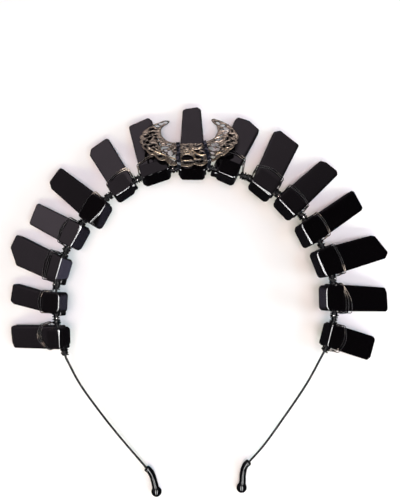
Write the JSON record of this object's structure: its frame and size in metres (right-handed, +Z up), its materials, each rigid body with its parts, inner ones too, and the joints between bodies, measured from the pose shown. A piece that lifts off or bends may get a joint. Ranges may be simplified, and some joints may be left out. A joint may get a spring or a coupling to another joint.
{
  "type": "diadem",
  "caption": "Headband diadem: long black stone slabs fanned round a bent wire band, a bead before each slab, and a pierced bronze crescent tied over the middle.",
  "frame": {"origin": "middle of the part's box in X and Y, on the surface it lies on", "axes": "+Z up from the surface it lies on, +Y from the open end of the band to the crescent, +X to the right seen from above"},
  "size_m": [0.2102, 0.2174, 0.0351],
  "materials": {
    "black_stone": "polished black stone",
    "black_bead_stone": "polished black stone",
    "blackened_wire": "black coated steel wire",
    "black_rubber": "smooth black rubber",
    "antique_bronze": "antiqued, dark in the recesses"
  },
  "bodies": {
    "root": {"band_wire": "blackened_wire", "tip_left": "black_rubber", "tip_right": "black_rubber", "slab_01": "black_stone", "bead_01": "black_bead_stone", "lashing_01": "blackened_wire", "slab_02": "black_stone", "bead_02": "black_bead_stone", "lashing_02": "blackened_wire", "slab_03": "black_stone", "bead_03": "black_bead_stone", "lashing_03": "blackened_wire", "slab_04": "black_stone", "bead_04": "black_bead_stone", "lashing_04": "blackened_wire", "slab_05": "black_stone", "bead_05": "black_bead_stone", "lashing_05": "blackened_wire", "slab_06": "black_stone", "bead_06": "black_bead_stone", "lashing_06": "blackened_wire", "slab_07": "black_stone", "bead_07": "black_bead_stone", "lashing_07": "blackened_wire", "slab_08": "black_stone", "bead_08": "black_bead_stone", "lashing_08": "blackened_wire", "slab_09": "black_stone", "bead_09": "black_bead_stone", "lashing_09": "blackened_wire", "slab_10": "black_stone", "bead_10": "black_bead_stone", "lashing_10": "blackened_wire", "slab_11": "black_stone", "bead_11": "black_bead_stone", "lashing_11": "blackened_wire", "slab_12": "black_stone", "bead_12": "black_bead_stone", "lashing_12": "blackened_wire", "slab_13": "black_stone", "bead_13": "black_bead_stone", "lashing_13": "blackened_wire", "slab_14": "black_stone", "bead_14": "black_bead_stone", "lashing_14": "blackened_wire", "slab_15": "black_stone", "bead_15": "black_bead_stone", "lashing_15": "blackened_wire", "moon": "antique_bronze", "tie_left": "blackened_wire", "tie_right": "blackened_wire"}
  },
  "joints": []
}
